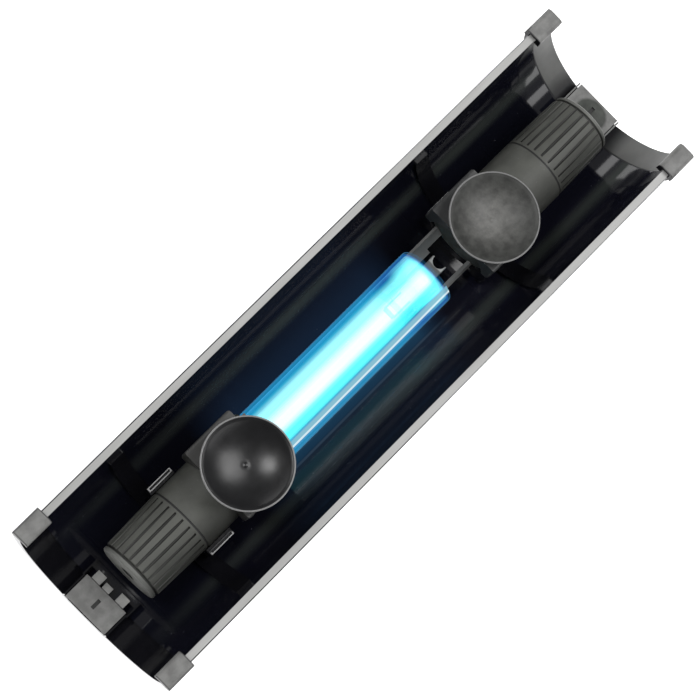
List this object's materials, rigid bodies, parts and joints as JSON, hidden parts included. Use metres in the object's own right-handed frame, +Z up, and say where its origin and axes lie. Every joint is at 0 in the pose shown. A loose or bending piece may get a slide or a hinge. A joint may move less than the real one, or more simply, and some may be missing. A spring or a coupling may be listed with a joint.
{
  "type": "uv clarifier",
  "caption": "Submersible ultraviolet clarifier: a lamp in a quartz sleeve between two ribbed screw caps, on suction cups, standing in a half-pipe light shade with end hooks.",
  "frame": {"origin": "on the floor under the middle of the light shade, half way between its end collars", "axes": "+X along the lamp from the cable end to the tail end, +Z up out of the shade's open side"},
  "size_m": [0.2866, 0.0804, 0.0536],
  "materials": {
    "shade_black": "glossy, with a faint violet tint",
    "collar_black": "satin, with grained hooks",
    "keeper_grey": "satin moulded",
    "cradle_black": "satin",
    "foot_rubber": "matt",
    "screw_steel": "machined",
    "barrel_plastic": "fine textured",
    "seal_rubber": "matt",
    "strut_plastic": "satin",
    "quartz": "clear",
    "ring_plastic": "satin",
    "lit_glass": "lit, pale cyan",
    "electrode_metal": "drawn wire",
    "tip_plastic": "satin",
    "spacer_silicone": "translucent",
    "base_plastic": "satin",
    "pin_brass": "plated",
    "socket_plastic": "satin",
    "contact_brass": "plated",
    "cap_plastic": "fine textured",
    "holder_plastic": "fine textured",
    "cup_rubber": "smooth",
    "cup_dusty": "dulled by dust"
  },
  "bodies": {
    "shade": {"shade_shell": "shade_black", "near_end_collar": "collar_black", "far_end_collar": "collar_black", "near_cable_keeper": "keeper_grey", "far_cable_keeper": "keeper_grey", "near_cradle": "cradle_black", "far_cradle": "cradle_black", "foot_pads": "foot_rubber", "cradle_screws": "screw_steel"},
    "lamp_unit": {"near_barrel": "barrel_plastic", "far_barrel": "barrel_plastic", "near_gasket": "seal_rubber", "far_gasket": "seal_rubber", "left_strut": "strut_plastic", "right_strut": "strut_plastic", "sleeve_rest": "strut_plastic", "quartz_sleeve": "quartz", "sleeve_bung": "seal_rubber", "uv_tube": "lit_glass", "electrodes": "electrode_metal", "tube_tip": "tip_plastic", "tube_spacer": "spacer_silicone", "lamp_base": "base_plastic", "lamp_pins": "pin_brass", "lamp_socket": "socket_plastic", "socket_contacts": "contact_brass", "near_cup_holder": "holder_plastic", "far_cup_holder": "holder_plastic"},
    "near_ring": {"near_thrust_ring": "ring_plastic"},
    "cable_cap": {"near_cap": "cap_plastic", "cable_gland": "seal_rubber"},
    "tail_disc": {"tail_plug": "ring_plastic"},
    "tail_cap": {"far_cap": "cap_plastic"},
    "cable_end_cup": {"near_suction_cup": "cup_rubber"},
    "tail_end_cup": {"far_suction_cup": "cup_dusty"}
  },
  "joints": [
    {"name": "lamp_lift", "type": "slide", "parent": "shade", "child": "lamp_unit", "axis": [0, 0, 1], "range_m": [0, 0.05]},
    {"name": "cable_cap_travel", "type": "slide", "parent": "lamp_unit", "child": "near_ring", "axis": [-1, 0, 0], "range_m": [0, 0.0075]},
    {"name": "cable_cap_turn", "type": "hinge", "parent": "near_ring", "child": "cable_cap", "pos_m": [-0.1, 0, 0.0274], "axis": [-1, 0, 0], "range_deg": [0, 1080]},
    {"name": "tail_cap_travel", "type": "slide", "parent": "lamp_unit", "child": "tail_disc", "axis": [1, 0, 0], "range_m": [0, 0.0075]},
    {"name": "tail_cap_turn", "type": "hinge", "parent": "tail_disc", "child": "tail_cap", "pos_m": [0.1, 0, 0.0274], "axis": [1, 0, 0], "range_deg": [0, 1080]},
    {"name": "cable_end_cup_swivel", "type": "hinge", "parent": "lamp_unit", "child": "cable_end_cup", "pos_m": [-0.0668, -0.0019, 0.05], "axis": [0, 0, 1], "continuous": true},
    {"name": "tail_end_cup_swivel", "type": "hinge", "parent": "lamp_unit", "child": "tail_end_cup", "pos_m": [0.0654, -0.0019, 0.05], "axis": [0, 0, 1], "continuous": true}
  ],
  "couplings": [
    {"joint": "cable_cap_travel", "follows": "cable_cap_turn", "m_per_rad": 0.00039789},
    {"joint": "tail_cap_travel", "follows": "tail_cap_turn", "m_per_rad": 0.00039789}
  ]
}
